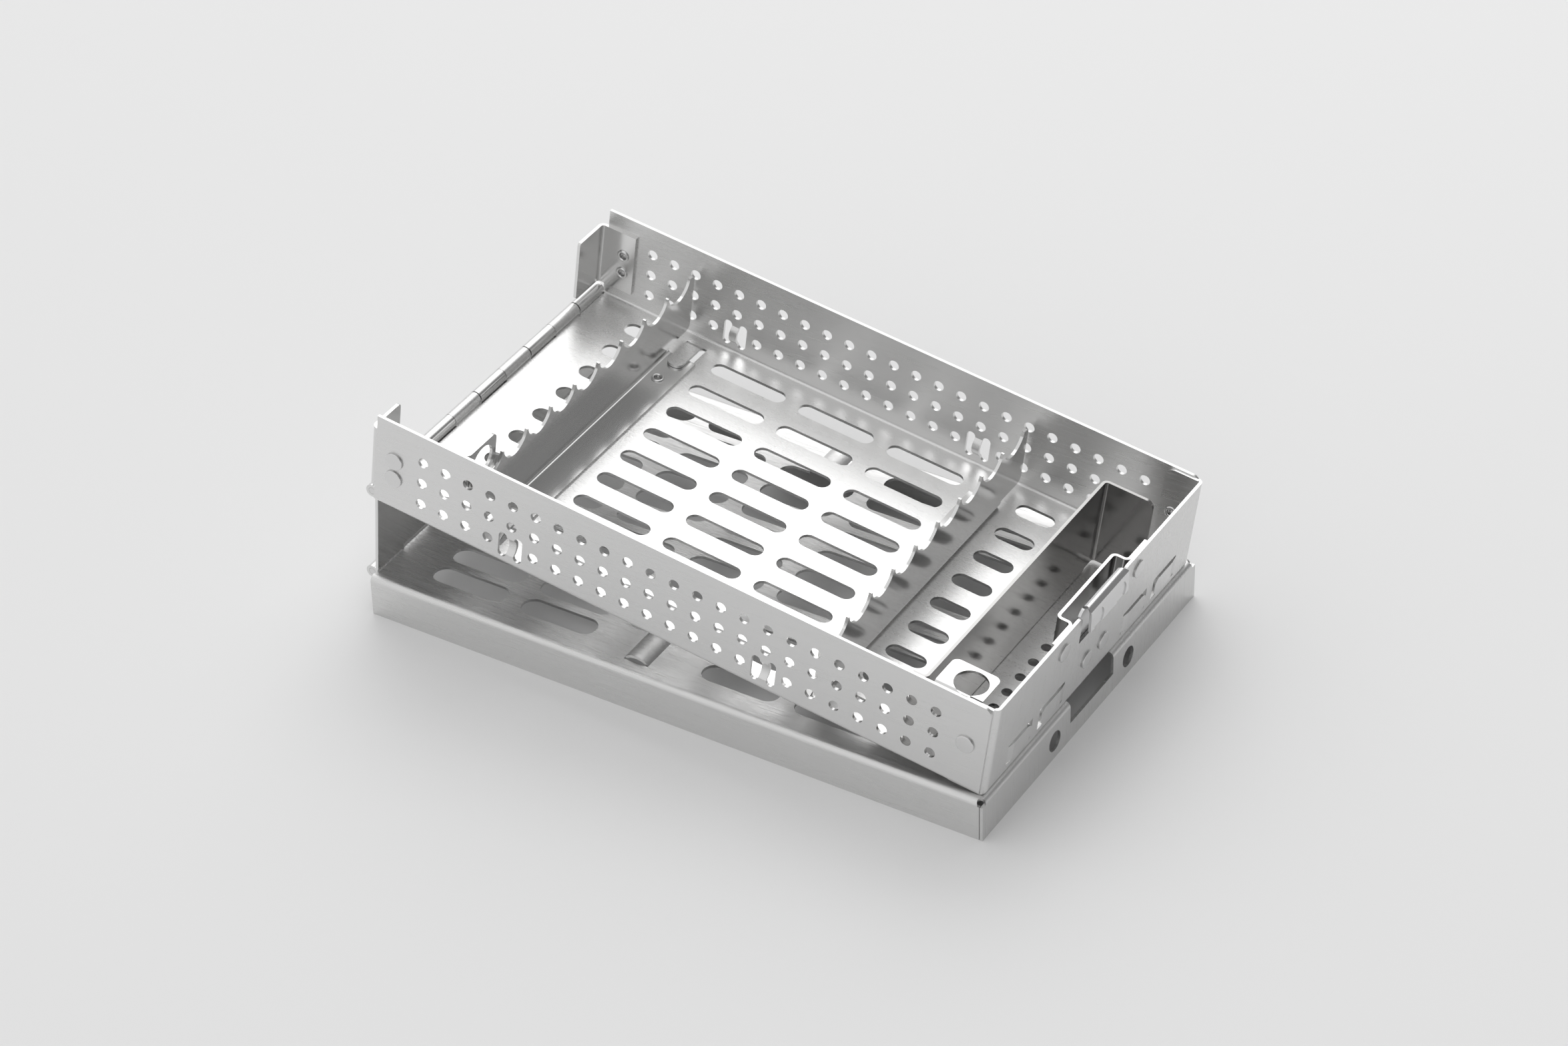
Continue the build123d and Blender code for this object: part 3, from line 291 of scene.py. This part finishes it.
# a rivet with a raised head outside the wall, z = 0 on the wall's face: a low parabola over the head,
# the rim's arc, the shank, the tail's half circle and the bore's blind end
def raisedProfile(v):
    rimCentre = v["head"] - v["rim"]
    crown = np.linspace(0, rimCentre, 8)
    top = v["headHeight"] + v["crown"] * (1 - (crown / rimCentre) ** 2)
    tailEnd = -v["grip"] - v["tailHeight"]
    lip = (v["tail"] - v["bore"]) / 2
    return np.concatenate([
        np.stack([crown, top], axis=1)[:-1],
        arc(rimCentre, v["headHeight"] - v["rim"], v["rim"], 90, -80, 10),
        [(rimCentre - v["undercut"], 0.0), (v["shank"], 0.0)],
        [(v["shank"], -v["grip"]), (v["tail"], -v["grip"] - v["flare"])],
        arc(v["bore"] + lip, tailEnd + lip, lip, 0, -180, 9),
        [(v["bore"], v["boreEnd"]), (0, v["boreEnd"])],
    ])


# a rack's rivet, its flat head flush with the floor's underside at z = 0 and its tail above the rack's
# foot: the same tail, with the bore open right through
def flushProfile(v):
    tailEnd = v["grip"] + v["tailHeight"]
    lip = (v["tail"] - v["bore"]) / 2
    return np.concatenate([
        [(v["bore"], 0), (v["flushHead"], 0), (v["flushHead"], v["flushHeight"])],
        [(v["shank"], v["flushHeight"]), (v["shank"], v["grip"]), (v["tail"], v["grip"] + v["flare"])],
        arc(v["bore"] + lip, tailEnd - lip, lip, 0, 180, 9),
        [(v["bore"], 0)],
    ])


# in millimetres in the tray's frame, as the part has them; an offset is to either side of the middle
rivetAt = {
    "wallY": 59.7, "endX": 199.7, "bracketX": 7.8, "bracketHeights": (11.6, 17.9),
    "tabX": 192.0, "tabHeight": 16.0, "guardOffset": 21.3, "guardHeight": 25.0,
    "latchOffset": 4.8, "latchHeight": 10.4,
    "rackCentreX": 88.5, "rackSpacing": 111.6, "rackInset": 4.1, "rackOffset": 33.6,
}
outward = {"near": (0, -1, 0), "far": (0, 1, 0), "end": (1, 0, 0)}
raisedSets = {
    "near_bracket_rivets": [((rivetAt["bracketX"], -rivetAt["wallY"], z), "near")
                            for z in rivetAt["bracketHeights"]],
    "far_bracket_rivets": [((rivetAt["bracketX"], rivetAt["wallY"], z), "far")
                           for z in rivetAt["bracketHeights"]],
    "tab_rivets": [((rivetAt["tabX"], sign * rivetAt["wallY"], rivetAt["tabHeight"]), wall)
                   for sign, wall in ((-1, "near"), (1, "far"))],
    "guard_rivets": [((rivetAt["endX"], sign * rivetAt["guardOffset"], rivetAt["guardHeight"]), "end")
                     for sign in (-1, 1)],
    "latch_rivets": [((rivetAt["endX"], sign * rivetAt["latchOffset"], rivetAt["latchHeight"]), "end")
                     for sign in (-1, 1)],
}
rackRivetX = rivetAt["rackSpacing"] / 2 - rivetAt["rackInset"]
flushSets = {
    "left_rack_rivets": [(rivetAt["rackCentreX"] - rackRivetX, sign * rivetAt["rackOffset"], 0)
                         for sign in (-1, 1)],
    "right_rack_rivets": [(rivetAt["rackCentreX"] + rackRivetX, sign * rivetAt["rackOffset"], 0)
                          for sign in (-1, 1)],
}
upAxis, alongX = fromTray([(0, 0, 1), (1, 0, 0)], direction=True)
for node, spots in raisedSets.items():
    places = [(fromTray(spot), fromTray(outward[wall], direction=True), upAxis) for spot, wall in spots]
    turnedPiece(node.replace("_", "-"), raisedProfile(rivetSizes), places,
                "tray", finishes["rivetSteel"], node)
for node, spots in flushSets.items():
    places = [(fromTray(spot), upAxis, alongX) for spot in spots]
    turnedPiece(node.replace("_", "-"), flushProfile(rivetSizes), places,
                "tray", finishes["rivetSteel"], node)
print("rivets made")

# the table, a pale square
floorLook = {"halfWidth": 3.0, "colour": (0.86, 0.86, 0.86, 1), "rough": 0.8}
half = floorLook["halfWidth"]
floorMesh = bpy.data.meshes.new("floor")
floorCorners = [(-half, -half, 0), (half, -half, 0), (half, half, 0), (-half, half, 0)]
floorMesh.from_pydata(floorCorners, [], [(0, 1, 2, 3)])
floor = bpy.data.objects.new("floor", floorMesh)
bpy.context.collection.objects.link(floor)
floorFinish = Finish("paleFloor")
floorShader = floorFinish.node(
    "ShaderNodeBsdfPrincipled", None, {"Base Color": floorLook["colour"], "Roughness": floorLook["rough"]}
)
floorMesh.materials.append(floorFinish.finished(floorShader))
print("floor made")

# soft boxes behind and above the tray, turned towards it: metres and watts
lamps = {
    "backSoftbox": {"place": (-0.65, 1.45, 1.45), "size": 1.8, "power": 9.5},
    "topSoftbox": {"place": (0.0, 0.7, 1.7), "size": 1.6, "power": 5.5},
}
for name, look in lamps.items():
    lamp = bpy.data.lights.new(name, "AREA")
    lamp.size = look["size"]
    lamp.energy = look["power"]
    holder = bpy.data.objects.new(name, lamp)
    bpy.context.collection.objects.link(holder)
    holder.location = look["place"]
    holder.rotation_euler = (-Vector(look["place"])).to_track_quat("-Z", "Y").to_euler()

# a pale room round the object, bright to the front left and dim to the back right: its strength rises
# from dim to bright as a view direction's share of brightSide goes from "from" to "to"
roomLook = {"brightSide": (-0.85, -0.45, 0.35), "dim": 0.25, "bright": 0.86, "from": -0.5, "to": 0.45}
room = bpy.data.worlds.new("room")
room.use_nodes = True
bpy.context.scene.world = room
roomNodes, roomLinks = room.node_tree.nodes, room.node_tree.links
way = roomNodes.new("ShaderNodeTexCoord")
towards = roomNodes.new("ShaderNodeVectorMath")
towards.operation = "DOT_PRODUCT"
towards.inputs[1].default_value = roomLook["brightSide"]
level = roomNodes.new("ShaderNodeMapRange")
level.interpolation_type = "SMOOTHSTEP"
for key, value in {"From Min": "from", "From Max": "to", "To Min": "dim", "To Max": "bright"}.items():
    level.inputs[key].default_value = roomLook[value]
roomLinks.new(way.outputs["Generated"], towards.inputs[0])
roomLinks.new(towards.outputs["Value"], level.inputs["Value"])
roomLinks.new(level.outputs["Result"], roomNodes["Background"].inputs["Strength"])
roomNodes["Background"].inputs["Color"].default_value = (1, 1, 1, 1)
bpy.context.scene.view_settings.view_transform = "Standard"

# the photo's camera, solved from the wall's hole grid: metres, its own axes in the world, and pixels
cameraLook = {
    "place": (0.5705593, -0.9080250, 0.8397309),
    "right": (0.8548953, 0.5183700, -0.0209021),
    "ahead": (-0.4244306, 0.6756500, -0.6027920),
    "focalPixels": 7143.5, "imageWidth": 2350, "sensorWidth": 36.0, "near": 0.05, "far": 20,
}
cameraData = bpy.data.cameras.new("camera")
cameraData.sensor_width = cameraLook["sensorWidth"]
cameraData.lens = cameraLook["sensorWidth"] * cameraLook["focalPixels"] / cameraLook["imageWidth"]
cameraData.clip_start, cameraData.clip_end = cameraLook["near"], cameraLook["far"]
camera = bpy.data.objects.new("camera", cameraData)
bpy.context.collection.objects.link(camera)
rightWay = Vector(cameraLook["right"]).normalized()
backWay = -Vector(cameraLook["ahead"]).normalized()
upWay = backWay.cross(rightWay).normalized()
rightWay = upWay.cross(backWay)
turned = Matrix((rightWay, upWay, backWay)).transposed().to_4x4()
camera.matrix_world = Matrix.Translation(cameraLook["place"]) @ turned
bpy.context.scene.camera = camera
print("camera and lights placed")
